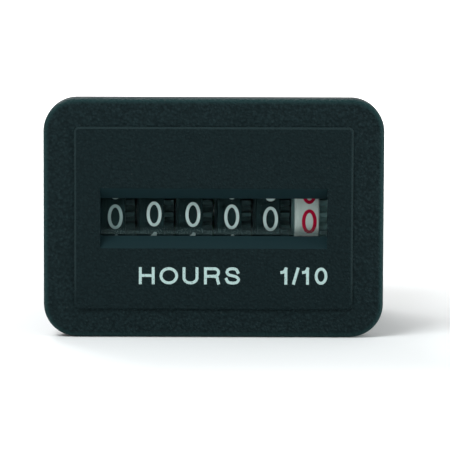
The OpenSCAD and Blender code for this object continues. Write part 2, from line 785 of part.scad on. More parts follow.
// Plate with soft edges and a boss round each blade; a lip with snaps goes into the sleeve
module rear_cover() {
  lip_w = cavity_w - 2 * seat_fit;
  lip_h = cavity_h - 2 * seat_fit;
  color("#1b2022") difference() {
    union() {
      mirror([0, 1, 0]) soft_slab(body_w, body_h, cover_t, body_corner_r, cover_edge_r, -sleeve_end);
      for (sx = [-1, 1])
        between(body_end - cut, body_end + boss_rise)
          translate([sx * blade_x, 0]) rounded_rect(boss_w, boss_h, boss_corner_r);
      between(board_back_y, sleeve_end + cut) difference() {
        square([lip_w, lip_h], center = true);
        square([lip_w - 2 * cover_lip, lip_h - 2 * cover_lip], center = true);
      }
      intersection() {
        snap_windows(0);
        between(board_back_y, sleeve_end) square([body_w, cavity_h + body_wall], center = true);
      }
    }
    for (sx = [-1, 1])
      translate([sx * blade_x - blade_t / 2 - slot_fit, sleeve_end - cut, -blade_w / 2 - slot_fit])
        cube([blade_t + 2 * slot_fit, cover_t + boss_rise + 2 * cut, blade_w + 2 * slot_fit]);
  }
}

// Flat tab with chamfered tip; a shoulder behind the cover and a tail through the board hold it
module terminal(side) {
  start = board_y - tail_end;
  shoulder = sleeve_end - shoulder_l;
  tip = body_end + blade_l;
  nose = tip - blade_chamfer;
  tail = tail_w / 2;
  wide = shoulder_w / 2;
  half = blade_w / 2;
  narrow = half - blade_chamfer;
  color("#c9b27a") difference() {
    on_axis(side * blade_x - blade_t / 2, 0, 0) linear_extrude(blade_t) polygon([
      [start, -tail], [shoulder, -tail], [shoulder, -wide], [sleeve_end, -wide], [sleeve_end, -half],
      [nose, -half], [tip, -narrow], [tip, narrow], [nose, half],
      [sleeve_end, half], [sleeve_end, wide], [shoulder, wide], [shoulder, tail], [start, tail]
    ]);
    rod(side * blade_x - blade_t, side * blade_x + blade_t, body_end + blade_l / 2, 0, blade_hole_r);
  }
}

// Spring strip: a flat leg on the case, then a bow that reaches out behind the panel
module side_clip(side) {
  out = body_w / 2 + clip_bow;
  knee_y = clip_tip_y + clip_knee;
  flat_x = recess_x + clip_t;
  length = clip_end_y - clip_tip_y;
  color("#a9adaf") mirror([side > 0 ? 0 : 1, 0, 0]) difference() {
    intersection() {
      translate([0, 0, -clip_w / 2]) linear_extrude(clip_w) polygon([
        [recess_x, clip_end_y], [recess_x, clip_leg_y],
        [out - clip_t, knee_y], [out - clip_t - clip_curl, clip_tip_y],
        [out - clip_curl + clip_t / 4, clip_tip_y], [out, knee_y],
        [flat_x, clip_leg_y], [flat_x, clip_end_y]
      ]);
      on_axis(recess_x - cut, clip_tip_y + length / 2, 0)
        linear_extrude(out - recess_x + 2 * cut) rounded_rect(length, clip_w, clip_corner_r);
    }
    for (y = peg_y) rod(recess_x - cut, flat_x + cut, y, 0, peg_r + seat_fit);
  }
}

front_case();
window_lens();
counter_frame();
wheel_shaft();
pinion_shaft();
number_wheel(0);  // number_wheel_1
number_wheel(1);  // number_wheel_2
number_wheel(2);  // number_wheel_3
number_wheel(3);  // number_wheel_4
number_wheel(4);  // number_wheel_5
number_wheel(wheel_count - 1);  // tenths_wheel
transfer_pinion(0);  // transfer_pinion_1
transfer_pinion(1);  // transfer_pinion_2
transfer_pinion(2);  // transfer_pinion_3
transfer_pinion(3);  // transfer_pinion_4
transfer_pinion(4);  // transfer_pinion_5
drive_gear();
second_gear();
rotor_magnet();
rotor_pinion();
gear_plate();
motor_plate();
stack_screws();
motor_stator();
coil_core();
coil_bobbin();
coil_winding();
coil_pins();
circuit_board();
timer_chip();
quartz_crystal();
smoothing_capacitor();
series_resistor();
rectifier_diode();
rear_cover();
terminal(-1);  // terminal_left
terminal(1);  // terminal_right
side_clip(-1);  // side_clip_left
side_clip(1);  // side_clip_right
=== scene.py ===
import json
import math
import bpy
import bmesh
from mathutils import Matrix, Vector


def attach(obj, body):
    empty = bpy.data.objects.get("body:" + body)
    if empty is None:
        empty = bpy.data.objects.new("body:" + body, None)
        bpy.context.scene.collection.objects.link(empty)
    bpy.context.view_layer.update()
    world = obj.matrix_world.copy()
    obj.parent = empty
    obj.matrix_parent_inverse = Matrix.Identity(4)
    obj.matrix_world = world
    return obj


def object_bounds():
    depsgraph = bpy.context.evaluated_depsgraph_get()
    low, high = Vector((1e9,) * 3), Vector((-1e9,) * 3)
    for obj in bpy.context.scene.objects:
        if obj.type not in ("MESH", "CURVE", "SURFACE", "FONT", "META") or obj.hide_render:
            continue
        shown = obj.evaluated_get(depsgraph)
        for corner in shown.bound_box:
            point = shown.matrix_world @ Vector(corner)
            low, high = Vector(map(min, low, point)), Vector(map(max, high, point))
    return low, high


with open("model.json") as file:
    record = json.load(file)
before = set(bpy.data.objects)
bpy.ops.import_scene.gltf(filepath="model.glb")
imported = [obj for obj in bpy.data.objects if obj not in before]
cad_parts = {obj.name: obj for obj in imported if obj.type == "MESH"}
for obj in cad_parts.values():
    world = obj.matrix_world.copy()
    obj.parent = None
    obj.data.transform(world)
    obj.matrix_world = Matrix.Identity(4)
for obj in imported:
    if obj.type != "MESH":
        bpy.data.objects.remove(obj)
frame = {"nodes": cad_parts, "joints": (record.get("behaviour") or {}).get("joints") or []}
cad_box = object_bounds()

# COUNTER FRAME AND ITS SHAFTS
# A U-shaped moulding in dark grey glass-filled plastic carries the whole counter.
# Two drawn steel shafts are pressed through its side plates.

MM = 0.001
frame_grey = (0.024, 0.028, 0.030)
shaft_grey = (0.47, 0.49, 0.50)


def new_finish(name):
    """An empty material with one Principled shader: the material, its node tree and the shader."""
    material = bpy.data.materials.new(name)
    material.use_nodes = True
    tree = material.node_tree
    tree.nodes.clear()
    shader = tree.nodes.new("ShaderNodeBsdfPrincipled")
    output = tree.nodes.new("ShaderNodeOutputMaterial")
    tree.links.new(shader.outputs["BSDF"], output.inputs["Surface"])
    return material, tree, shader


def add(tree, kind, inputs=None, **settings):
    """A node with its settings; an input takes a socket as a link, and anything else as its value."""
    node = tree.nodes.new(kind)
    for key, value in settings.items():
        setattr(node, key, value)
    for key, value in (inputs or {}).items():
        if isinstance(value, bpy.types.NodeSocket):
            tree.links.new(value, node.inputs[key])
        else:
            node.inputs[key].default_value = value
    return node


def maths(tree, operation, first, second=0.0, third=0.0):
    """One step of arithmetic on sockets or numbers."""
    node = add(tree, "ShaderNodeMath", {0: first, 1: second, 2: third}, operation=operation)
    return node.outputs[0]


def blend_colours(tree, factor, low, high):
    """Runs from one colour to another; each is a socket or three numbers."""
    ends = {}
    for key, colour in ((6, low), (7, high)):
        ends[key] = colour if isinstance(colour, bpy.types.NodeSocket) else (*colour, 1)
    node = add(tree, "ShaderNodeMix", {"Factor": factor, **ends}, data_type="RGBA")
    return node.outputs[2]


def spread(tree, value, low, high, from_low=0.0, from_high=1.0):
    """Carries a value from one range over to another, and keeps it inside."""
    node = add(tree, "ShaderNodeMapRange", {"Value": value, "From Min": from_low,
                                            "From Max": from_high, "To Min": low, "To Max": high})
    return node.outputs["Result"]


def object_place(tree):
    """The piece's own coordinates, which are the shared frame's at rest."""
    return tree.nodes.new("ShaderNodeTexCoord").outputs["Object"]


def emboss(tree, shader, height, depth, strength=1.0):
    """Puts a height into the shader's normal; the depth is in metres."""
    bump = add(tree, "ShaderNodeBump", {"Height": height, "Distance": depth, "Strength": strength})
    tree.links.new(bump.outputs["Normal"], shader.inputs["Normal"])


def moulded_skin_group():
    """Grain of a moulded surface: pebbled height, slow clouds of tone, and sparse specks of dust."""
    pebble_share = 0.55
    cloud_scale = 0.09
    specks_per_metre = 950.0
    speck_share = 0.045
    speck_size = 0.10
    group = bpy.data.node_groups.new("moulded_skin", "ShaderNodeTree")
    group.interface.new_socket("Grain per metre", in_out="INPUT", socket_type="NodeSocketFloat")
    for name in ("Height", "Cloud", "Speck"):
        group.interface.new_socket(name, in_out="OUTPUT", socket_type="NodeSocketFloat")
    start = group.nodes.new("NodeGroupInput")
    end = group.nodes.new("NodeGroupOutput")
    grain = start.outputs["Grain per metre"]
    place = object_place(group)
    pebbles = add(group, "ShaderNodeTexVoronoi",
                  {"Vector": place, "Scale": grain, "Smoothness": 0.6}, feature="SMOOTH_F1")
    fine = add(group, "ShaderNodeTexNoise",
               {"Vector": place, "Scale": grain, "Detail": 5.0, "Roughness": 0.6})
    height = maths(group, "MULTIPLY_ADD", pebbles.outputs["Distance"], -pebble_share,
                   fine.outputs["Fac"])
    slow = maths(group, "MULTIPLY", grain, cloud_scale)
    clouds = add(group, "ShaderNodeTexNoise", {"Vector": place, "Scale": slow, "Detail": 2.0})
    dust = add(group, "ShaderNodeTexVoronoi", {"Vector": place, "Scale": specks_per_metre})
    draw = add(group, "ShaderNodeSeparateColor", {"Color": dust.outputs["Color"]}).outputs["Red"]
    picked = maths(group, "GREATER_THAN", draw, 1 - speck_share)
    dot = maths(group, "LESS_THAN", dust.outputs["Distance"], speck_size)
    speck = maths(group, "MULTIPLY", picked, dot)
    for name, socket in (("Height", height), ("Cloud", clouds.outputs["Fac"]), ("Speck", speck)):
        group.links.new(socket, end.inputs[name])
    return group


moulded_skin = moulded_skin_group()


def grained_skin(tree, grain_mm):
    """Places the grain of a moulded surface in a material."""
    return add(tree, "ShaderNodeGroup", {"Grain per metre": 1 / (grain_mm * MM)},
               node_tree=moulded_skin)


def moulded_plastic(name, colour, roughness, grain_mm=0.25, depth_mm=0.006, cloud=0.18,
                    dust=0.0, gloss=0.5, shine=(1, 1, 1)):
    """A moulded plastic: grain in bump and roughness, slow changes of tone, and a little dust."""
    roughness_swing = 0.07
    dust_grey = (0.16, 0.17, 0.17)
    material, tree, shader = new_finish(name)
    skin = grained_skin(tree, grain_mm)
    dark = [c * (1 - cloud) for c in colour]
    light = [c * (1 + cloud) for c in colour]
    tone = blend_colours(tree, skin.outputs["Cloud"], dark, light)
    if dust:
        dusty = maths(tree, "MULTIPLY", skin.outputs["Speck"], dust)
        tone = blend_colours(tree, dusty, tone, dust_grey)
    tree.links.new(tone, shader.inputs["Base Color"])
    rough = spread(tree, skin.outputs["Height"], roughness + roughness_swing,
                   roughness - roughness_swing)
    tree.links.new(rough, shader.inputs["Roughness"])
    emboss(tree, shader, skin.outputs["Height"], depth_mm * MM)
    shader.inputs["Specular IOR Level"].default_value = gloss
    shader.inputs["Specular Tint"].default_value = (*shine, 1)
    return material


def drawn_metal_group():
    """Fine lines left by drawing or rolling a metal, and the dull patches of handling."""
    group = bpy.data.node_groups.new("drawn_metal", "ShaderNodeTree")
    group.interface.new_socket("Lines per metre", in_out="INPUT", socket_type="NodeSocketFloat")
    group.interface.new_socket("Stretch", in_out="INPUT", socket_type="NodeSocketVector")
    for name in ("Lines", "Patches"):
        group.interface.new_socket(name, in_out="OUTPUT", socket_type="NodeSocketFloat")
    start = group.nodes.new("NodeGroupInput")
    end = group.nodes.new("NodeGroupOutput")
    place = object_place(group)
    along = add(group, "ShaderNodeVectorMath", {0: place, 1: start.outputs["Stretch"]},
                operation="MULTIPLY")
    lines = add(group, "ShaderNodeTexNoise",
                {"Vector": along.outputs[0], "Scale": start.outputs["Lines per metre"],
                 "Detail": 4.0, "Roughness": 0.7})
    patches = add(group, "ShaderNodeTexNoise", {"Vector": place, "Scale": 420.0, "Detail": 3.0})
    group.links.new(lines.outputs["Fac"], end.inputs["Lines"])
    group.links.new(patches.outputs["Fac"], end.inputs["Patches"])
    return group


drawn_metal = drawn_metal_group()


def worked_metal(name, colour, roughness, stretch=(0.05, 1, 1)):
    """A drawn or rolled metal: fine lines along one direction and slightly dull patches."""
    lines_mm = 0.06
    line_depth_mm = 0.002
    line_strength = 0.5
    tarnish = 0.2
    smoother = 0.08
    rougher = 0.12
    material, tree, shader = new_finish(name)
    marks = add(tree, "ShaderNodeGroup",
                {"Lines per metre": 1 / (lines_mm * MM), "Stretch": stretch}, node_tree=drawn_metal)
    dull = [c * (1 - tarnish) for c in colour]
    tone = blend_colours(tree, marks.outputs["Patches"], dull, colour)
    tree.links.new(tone, shader.inputs["Base Color"])
    rough = spread(tree, marks.outputs["Lines"], roughness - smoother, roughness + rougher)
    tree.links.new(rough, shader.inputs["Roughness"])
    emboss(tree, shader, marks.outputs["Lines"], line_depth_mm * MM, line_strength)
    shader.inputs["Metallic"].default_value = 1.0
    return material


def dress(material, *nodes):
    """Gives CAD nodes a finish."""
    for name in nodes:
        for place in frame["nodes"][name].material_slots:
            place.material = material


dress(moulded_plastic("frame_moulding", frame_grey, 0.5), "counter_frame")
dress(worked_metal("shaft_steel", shaft_grey, 0.26), "wheel_shaft", "pinion_shaft")

# NUMBER WHEELS
# Six hollow wheels moulded in satin plastic turn loose on the shaft, each with a toothed ring.
# Five are black, and their toothed rings are coloured a lighter grey: painted light, since the rings
# sit deeper than the drums and get less light.
# The last one, for tenths, is grey with its drum lacquered white.

wheel_black = (0.0098, 0.0205, 0.0218)
# painted light: the deeper toothed rings of the black wheels are coloured lighter than the drums
ring_painted_light = (0.032, 0.058, 0.060)
black_shine = (0.5, 1, 1)
band_white = (0.54, 0.62, 0.59)
tenths_grey = (0.215, 0.385, 0.385)
band_radius = 5.9 * MM
wheel_turns = [f"number_{i}_turn" for i in range(1, 6)] + ["tenths_turn"]
joint_places = {joint["name"]: Vector(joint["pos_m"]) for joint in frame["joints"]}
wheel_middles = [joint_places[name] for name in wheel_turns]


def two_tone_wheel(name, drum_colour, ring_colour, roughness, **finish):
    """A moulding with one shade on its drum, and another inside the band radius, teeth included."""
    material = moulded_plastic(name, drum_colour, roughness, grain_mm=0.3, **finish)
    tree = material.node_tree
    shader = tree.nodes["Principled BSDF"]
    across = add(tree, "ShaderNodeVectorMath", {0: object_place(tree), 1: wheel_middles[0]},
                 operation="SUBTRACT")
    flat = add(tree, "ShaderNodeVectorMath", {0: across.outputs[0], 1: (0, 1, 1)},
               operation="MULTIPLY")
    reach = add(tree, "ShaderNodeVectorMath", {0: flat.outputs[0]}, operation="LENGTH")
    inside = maths(tree, "LESS_THAN", reach.outputs["Value"], band_radius)
    drum = shader.inputs["Base Color"].links[0].from_socket
    tone = blend_colours(tree, inside, drum, ring_colour)
    tree.links.new(tone, shader.inputs["Base Color"])
    return material


black_wheel = two_tone_wheel("wheel_moulding", wheel_black, ring_painted_light, 0.38, depth_mm=0.004,
                             dust=0.6, gloss=0.03, shine=black_shine)
white_wheel = two_tone_wheel("tenths_lacquer", band_white, tenths_grey, 0.40, depth_mm=0.003,
                             cloud=0.05, gloss=0.1)
dress(black_wheel, *[f"number_wheel_{i}" for i in range(1, 6)])
dress(white_wheel, "tenths_wheel")

# FIGURES ON THE WHEELS
# Ten figures run round each drum, stamped on in ink: white on the black wheels, red on the white.
# The ink on the first wheel is darker: painted shade, as the window's left end shades that wheel.
# The wheels stand a few degrees apart at rest, because the gears between them have play.

ink_white = (0.54, 0.66, 0.65)
# painted shade: a darker copy of the white ink, for the first wheel
ink_shaded_colour = (0.315, 0.425, 0.42)
ink_red = (0.42, 0.0025, 0.031)
drum_radius = 6.3 * MM
ink_thickness = 0.012 * MM
figure_w = 1.94 * MM
figure_h = 3.28 * MM
white_line_w = 0.40 * MM
red_line_w = 0.46 * MM
figure_shift = -0.17 * MM
figure_step = math.radians(36)
figure_phases_deg = (-1.9, 1.6, 1.1, -1.5, -4.0, -7.0)


def arc(cx, cy, rx, ry, start, end, steps=28):
    """Points along part of an ellipse, angles in degrees, in units of half a figure's size."""
    turns = [math.radians(start + (end - start) * k / steps) for k in range(steps + 1)]
    return [(cx + rx * math.cos(a), cy + ry * math.sin(a)) for a in turns]


def straight(x0, y0, x1, y1, steps=14):
    """Points along a line, in the same units."""
    return [(x0 + (x1 - x0) * k / steps, y0 + (y1 - y0) * k / steps) for k in range(steps + 1)]


def figure_strokes(figure):
    """Centre lines of a figure's strokes; x and y run from -1 to 1 over its width and height."""
    nine = [arc(0, 0.42, 1, 0.58, 0, 360), arc(0, 0, 1, 1, 25, -165)]
    shapes = {
        0: [arc(0, 0, 1, 1, 0, 360, 56)],
        1: [straight(0.16, -1, 0.16, 0.9), straight(0.16, 0.9, -0.3, 0.66)],
        2: [arc(0, 0.45, 0.95, 0.55, 165, -30) + straight(0.8, 0.15, -1, -1)[1:],
            straight(-1, -1, 1, -1)],
        3: [arc(0, 0.48, 0.85, 0.52, 155, -90), arc(0, -0.5, 0.98, 0.54, 90, -155)],
        4: [straight(0.45, -1, 0.45, 1), straight(0.45, 1, -1, -0.36),
            straight(-1, -0.36, 1, -0.36)],
        5: [straight(0.85, 1, -0.72, 1), straight(-0.72, 1, -0.85, 0.05),
            arc(0, -0.36, 1, 0.64, 140, -150)],
        6: [[(-x, -y) for x, y in stroke] for stroke in nine],
        7: [straight(-1, 1, 1, 1), straight(1, 1, -0.25, -1)],
        8: [arc(0, 0.5, 0.84, 0.5, 0, 360), arc(0, -0.5, 1, 0.5, 0, 360)],
        9: nine,
    }
    return shapes[figure]


def is_closed(points):
    """True where a stroke ends at the point where it starts."""
    return math.dist(points[0], points[-1]) < 1e-9


def ribbon_edges(points, width):
    """Left and right edges of a flat stroke; an open end is drawn on by half the width."""
    closed = is_closed(points)
    points = [Vector(p) for p in points]
    if closed:
        points[-1] = points[0]
    else:
        points[0] = points[0] + (points[0] - points[1]).normalized() * width / 2
        points[-1] = points[-1] + (points[-1] - points[-2]).normalized() * width / 2
    last = len(points) - 1
    edges = []
    for k, here in enumerate(points):
        before = points[k - 1] if k else points[last - 1 if closed else 0]
        after = points[k + 1] if k < last else points[1 if closed else last]
        run = (after - before).normalized()
        side = Vector((-run.y, run.x)) * width / 2
        edges.append((here + side, here - side))
    return edges


def stamp_stroke(mesh, points, width, layer, wrap):
    """Adds a closed, thin strip of ink along the points.
    Wrap puts a flat point at a height over the surface. Strokes that cross lie in layers of
    slightly different thickness."""
    layer_step = 0.25
    closed = is_closed(points)
    thick = ink_thickness * (1 + layer_step * layer)
    rings = []
    for left, right in ribbon_edges(points, width)[:-1 if closed else None]:
        corners = ((left, thick), (right, thick), (right, -thick), (left, -thick))
        rings.append([mesh.verts.new(wrap(point, height)) for point, height in corners])
    for a, b in zip(rings, rings[1:] + rings[:1] if closed else rings[1:]):
        for k in range(4):
            mesh.faces.new((a[k], a[(k + 1) % 4], b[(k + 1) % 4], b[k]))
    if not closed:
        mesh.faces.new(rings[0][::-1])
        mesh.faces.new(rings[-1])


def printed_piece(name, mesh, ink, body):
    """Turns the strips into one piece that rides a body."""
    bmesh.ops.recalc_face_normals(mesh, faces=mesh.faces)
    data = bpy.data.meshes.new(name)
    mesh.to_mesh(data)
    mesh.free()
    data.materials.append(ink)
    piece = bpy.data.objects.new(name, data)
    bpy.context.scene.collection.objects.link(piece)
    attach(piece, body)


def round_drum(middle, turn):
    """Wraps a flat point onto a wheel's drum, at a height over its surface."""
    def wrap(point, height):
        angle = turn + point.y / drum_radius
        reach = drum_radius + height
        return middle + Vector((point.x + figure_shift,
                                -reach * math.cos(angle), reach * math.sin(angle)))
    return wrap


def wheel_figures(middle, phase_deg, line_w):
    """All ten figures of one wheel, 0 at the front and the next one below it."""
    half_w = (figure_w - line_w) / 2
    half_h = (figure_h - line_w) / 2
    mesh = bmesh.new()
    for figure in range(10):
        wrap = round_drum(middle, math.radians(phase_deg) - figure * figure_step)
        for layer, stroke in enumerate(figure_strokes(figure)):
            flat = [(x * half_w, y * half_h) for x, y in stroke]
            stamp_stroke(mesh, flat, line_w, layer, wrap)
    return mesh


ink_skin = {"grain_mm": 0.12, "depth_mm": 0.003}
white_ink = moulded_plastic("white_ink", ink_white, 0.6, cloud=0.12, gloss=0.1, **ink_skin)
shaded_ink = moulded_plastic("shaded_ink", ink_shaded_colour, 0.6, cloud=0.12, gloss=0.1, **ink_skin)
red_ink = moulded_plastic("red_ink", ink_red, 0.55, cloud=0.15, gloss=0.05, **ink_skin)
for i in range(5):
    figures = wheel_figures(wheel_middles[i], figure_phases_deg[i], white_line_w)
    # the first wheel takes the darker ink, which is painted shade
    ink = white_ink if i else shaded_ink
    printed_piece(f"number_figures_{i + 1}", figures, ink, f"number_{i + 1}")
figures = wheel_figures(wheel_middles[5], figure_phases_deg[5], red_line_w)
printed_piece("tenths_figures", figures, red_ink, "tenths")

# TRANSFER PINIONS AND MOTOR GEARS
# Small gears moulded in natural acetal, which runs without oil.
# They turn loose on pins or on arbors moulded with them.

acetal_white = (0.50, 0.53, 0.50)
acetal = moulded_plastic("acetal", acetal_white, 0.38, grain_mm=0.2, depth_mm=0.003, cloud=0.08)
dress(acetal, "drive_gear", "second_gear", "rotor_pinion",
      *[f"transfer_pinion_{i}" for i in range(1, 6)])

# GEAR PLATES AND SCREWS
# Two stamped plates of nickel-plated brass, with pillars riveted in, hold the gears and the motor.
# Four slotted steel screws run through the pillars and draw the stack together.

nickel_grey = (0.46, 0.46, 0.42)
screw_grey = (0.50, 0.52, 0.53)
plate_nickel = worked_metal("plate_nickel", nickel_grey, 0.32, stretch=(1, 1, 0.04))
dress(plate_nickel, "gear_plate", "motor_plate")
dress(worked_metal("screw_steel", screw_grey, 0.22), "stack_screws")

# STEPPING MOTOR
# A flat stator and core are stamped from soft iron, and the rotor is a plastic-bonded magnet.
# The coil is enamelled copper wire, wound on a moulded bobbin with a tinned pin for each end.

iron_grey = (0.34, 0.35, 0.35)
magnet_grey = (0.05, 0.045, 0.042)
bobbin_black = (0.012, 0.012, 0.011)
tin_white = (0.62, 0.62, 0.60)
copper = (0.42, 0.14, 0.04)
along_y = (1, 0.05, 1)


def wound_wire(name, colour, wire_mm):
    """Turns of enamelled wire side by side round the core, which lies along Y.
    The grooves between turns are darkened with painted shade.
    """
    groove_shade = 0.35
    material, tree, shader = new_finish(name)
    along = add(tree, "ShaderNodeSeparateXYZ", {"Vector": object_place(tree)}).outputs["Y"]
    turn = maths(tree, "SINE", maths(tree, "MULTIPLY", along, 2 * math.pi / (wire_mm * MM)))
    # painted shade in the grooves between turns
    shaded_groove = [c * groove_shade for c in colour]
    shade = blend_colours(tree, spread(tree, turn, 0, 1, -1, 1), shaded_groove, colour)
    tree.links.new(shade, shader.inputs["Base Color"])
    emboss(tree, shader, turn, wire_mm * MM / 4)
    shader.inputs["Metallic"].default_value = 0.8
    shader.inputs["Roughness"].default_value = 0.3
    return material


soft_iron = worked_metal("soft_iron", iron_grey, 0.42, stretch=along_y)
dress(soft_iron, "motor_stator", "coil_core")
dress(moulded_plastic("bonded_magnet", magnet_grey, 0.55, grain_mm=0.1), "rotor_magnet")
dress(moulded_plastic("bobbin_black", bobbin_black, 0.45), "coil_bobbin")
dress(worked_metal("tinned_pin", tin_white, 0.3, stretch=along_y), "coil_pins")
dress(wound_wire("copper_turns", copper, 0.12), "coil_winding")

# CIRCUIT BOARD AND ITS PARTS
# A glass-epoxy board with green solder mask; it times the motor and smooths the supply.
# Its parts are soldered to it, and the two terminals pass through it.

mask_green = (0.03, 0.16, 0.05)
epoxy_black = (0.012, 0.012, 0.013)
can_grey = (0.60, 0.61, 0.62)
sleeve_blue = (0.017, 0.034, 0.07)
resistor_tan = (0.48, 0.32, 0.14)
ring_brown = (0.12, 0.03, 0.01)
ring_dark = (0.01, 0.01, 0.01)
ring_orange = (0.5, 0.1, 0.01)


def solder_mask(name, colour):
    """Green mask with the faint relief of copper tracks under it."""
    track_shade = 0.7
    track_height = 0.03 * MM
    material, tree, shader = new_finish(name)
    tracks = add(tree, "ShaderNodeTexBrick",
                 {"Vector": object_place(tree), "Scale": 260.0, "Mortar Size": 0.03,
                  "Brick Width": 0.9, "Row Height": 0.3})
    under = maths(tree, "SUBTRACT", 1.0, tracks.outputs["Fac"])
    shade = blend_colours(tree, under, colour, [c * track_shade for c in colour])
    tree.links.new(shade, shader.inputs["Base Color"])
    emboss(tree, shader, tracks.outputs["Fac"], track_height)
    shader.inputs["Roughness"].default_value = 0.3
    return material


def ringed_lacquer(name, body, rings, start_mm, step_mm, width_mm):
    """Lacquered body with colour rings across its length, which runs along Z."""
    material, tree, shader = new_finish(name)
    along = add(tree, "ShaderNodeSeparateXYZ", {"Vector": object_place(tree)}).outputs["Z"]
    shade = body
    for k, ring in enumerate(rings):
        middle = (start_mm + k * step_mm) * MM
        inside = maths(tree, "COMPARE", along, middle, width_mm * MM / 2)
        shade = blend_colours(tree, inside, shade, ring)
    tree.links.new(shade, shader.inputs["Base Color"])
    shader.inputs["Roughness"].default_value = 0.35
    return material


dress(solder_mask("solder_mask", mask_green), "circuit_board")
epoxy = moulded_plastic("epoxy_black", epoxy_black, 0.55, grain_mm=0.08)
dress(epoxy, "timer_chip", "rectifier_diode")
dress(worked_metal("crystal_can", can_grey, 0.2), "quartz_crystal")
sleeve = moulded_plastic("capacitor_sleeve", sleeve_blue, 0.28, grain_mm=0.4)
dress(sleeve, "smoothing_capacitor")
lacquer = ringed_lacquer("resistor_lacquer", resistor_tan, (ring_brown, ring_dark, ring_orange),
                         start_mm=1.2, step_mm=1.1, width_mm=0.45)
dress(lacquer, "series_resistor")

# FRONT CASE
# One injection moulding in black plastic: flange, raised face, window sills and sleeve.
# The flange has a coarse spark-eroded grain, the face a finer one, and the sills are polished.
# Painted shade darkens the grain's pits; painted highlights lighten its peaks, the outer edges and
# the face's step.

# painted shade and highlight: the grain's pits are coloured darker and its peaks lighter
pit_painted_shade = (0.0026, 0.0083, 0.0096)
peak_painted_highlight = (0.0108, 0.0243, 0.0266)
# painted highlight: a light line round the face's step, fading out low down where the step faces down
step_highlight_colour = (0.014, 0.027, 0.029)
sill_colour = (0.0095, 0.0235, 0.0270)
# painted highlight: the flange's rounded outer edges are coloured a lighter teal
edge_highlight_colour = (0.0095, 0.0330, 0.0340)
speck_colour = (0.10, 0.11, 0.11)
flange_half_w = 22.0 * MM
flange_half_h = 15.5 * MM
flange_corner = 4.3 * MM
flange_grain_mm = 0.37
rounding_y = -2.2 * MM
edge_highlight_inner = -0.75 * MM
edge_highlight_outer = -0.25 * MM
edge_highlight_share = 0.9
face_half_w = 18.0 * MM
face_half_h = 11.85 * MM
face_corner = 0.7 * MM
face_grain_mm = 0.30
face_grain_share = 0.7
face_margin = 0.1 * MM
face_y = -3.5 * MM
step_y = -3.21 * MM
step_highlight_line = -0.08 * MM
step_highlight_half_w = 0.18 * MM
step_highlight_low_z = -11.7 * MM
step_highlight_high_z = -8.0 * MM
sill_half_w = 14.72 * MM
sill_half_h = 3.88 * MM
sill_start_y = face_y + 0.01 * MM
sill_polish = 0.22
case_speck = 0.15
case_grain_depth = 0.25 * MM
case_gloss = 0.06
pit_roughness = 0.52
peak_roughness = 0.40
pit_height = -0.05
peak_height = 0.55
highlight_narrowing = 1.7


def past_outline(tree, side, up, half_w, half_h, corner):
    """Distance outside a rectangle with round corners.
    Inside it, it is true only within one corner radius of the edge."""
    past = [maths(tree, "MAXIMUM", maths(tree, "SUBTRACT", far, half - corner), 0.0)
            for far, half in ((side, half_w), (up, half_h))]
    squares = [maths(tree, "POWER", far, 2.0) for far in past]
    return maths(tree, "SUBTRACT", maths(tree, "SQRT", maths(tree, "ADD", *squares)), corner)


